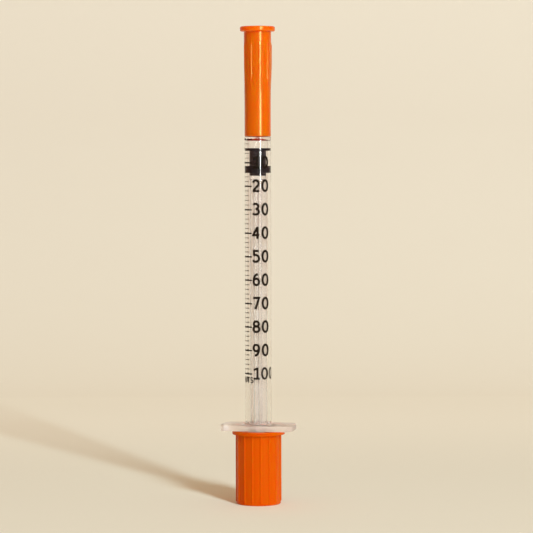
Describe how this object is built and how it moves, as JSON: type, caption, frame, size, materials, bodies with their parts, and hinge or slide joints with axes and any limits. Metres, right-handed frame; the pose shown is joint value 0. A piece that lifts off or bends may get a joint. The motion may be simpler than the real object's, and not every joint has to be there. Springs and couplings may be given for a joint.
{
  "type": "insulin syringe",
  "caption": "Capped insulin syringe with fixed needle, printed unit scale, finger flange, rubber stopper, plunger rod, needle shield and plunger cap.",
  "frame": {"origin": "middle of the plunger cap's flat bottom, which the capped syringe stands on", "axes": "+Z along the barrel's axis, from the plunger cap to the needle; the finger flange lies along X; the scale's figures face -Y"},
  "size_m": [0.0182, 0.013, 0.1175],
  "materials": {
    "orange_plastic": "gloss",
    "needle_steel": "polished",
    "epoxy": "gloss",
    "clear_plastic": "gloss",
    "ink": "matte",
    "black_rubber": "satin",
    "milky_plastic": "satin"
  },
  "bodies": {
    "barrel": {"barrel": "clear_plastic", "needle_tube": "needle_steel", "needle_adhesive": "epoxy", "scale_marks": "ink"},
    "plunger": {"plunger_rod": "milky_plastic", "stopper": "black_rubber"},
    "plunger_cap": {"plunger_cap": "orange_plastic"},
    "needle_shield": {"needle_shield": "orange_plastic"}
  },
  "joints": [
    {"name": "plunger_draw", "type": "slide", "parent": "barrel", "child": "plunger", "axis": [0, 0, -1], "range_m": [0, 0.0618]},
    {"name": "plunger_cap_off", "type": "slide", "parent": "plunger", "child": "plunger_cap", "axis": [0, 0, -1], "range_m": [0, 0.02]},
    {"name": "needle_shield_off", "type": "slide", "parent": "barrel", "child": "needle_shield", "axis": [0, 0, 1], "range_m": [0, 0.03]}
  ]
}
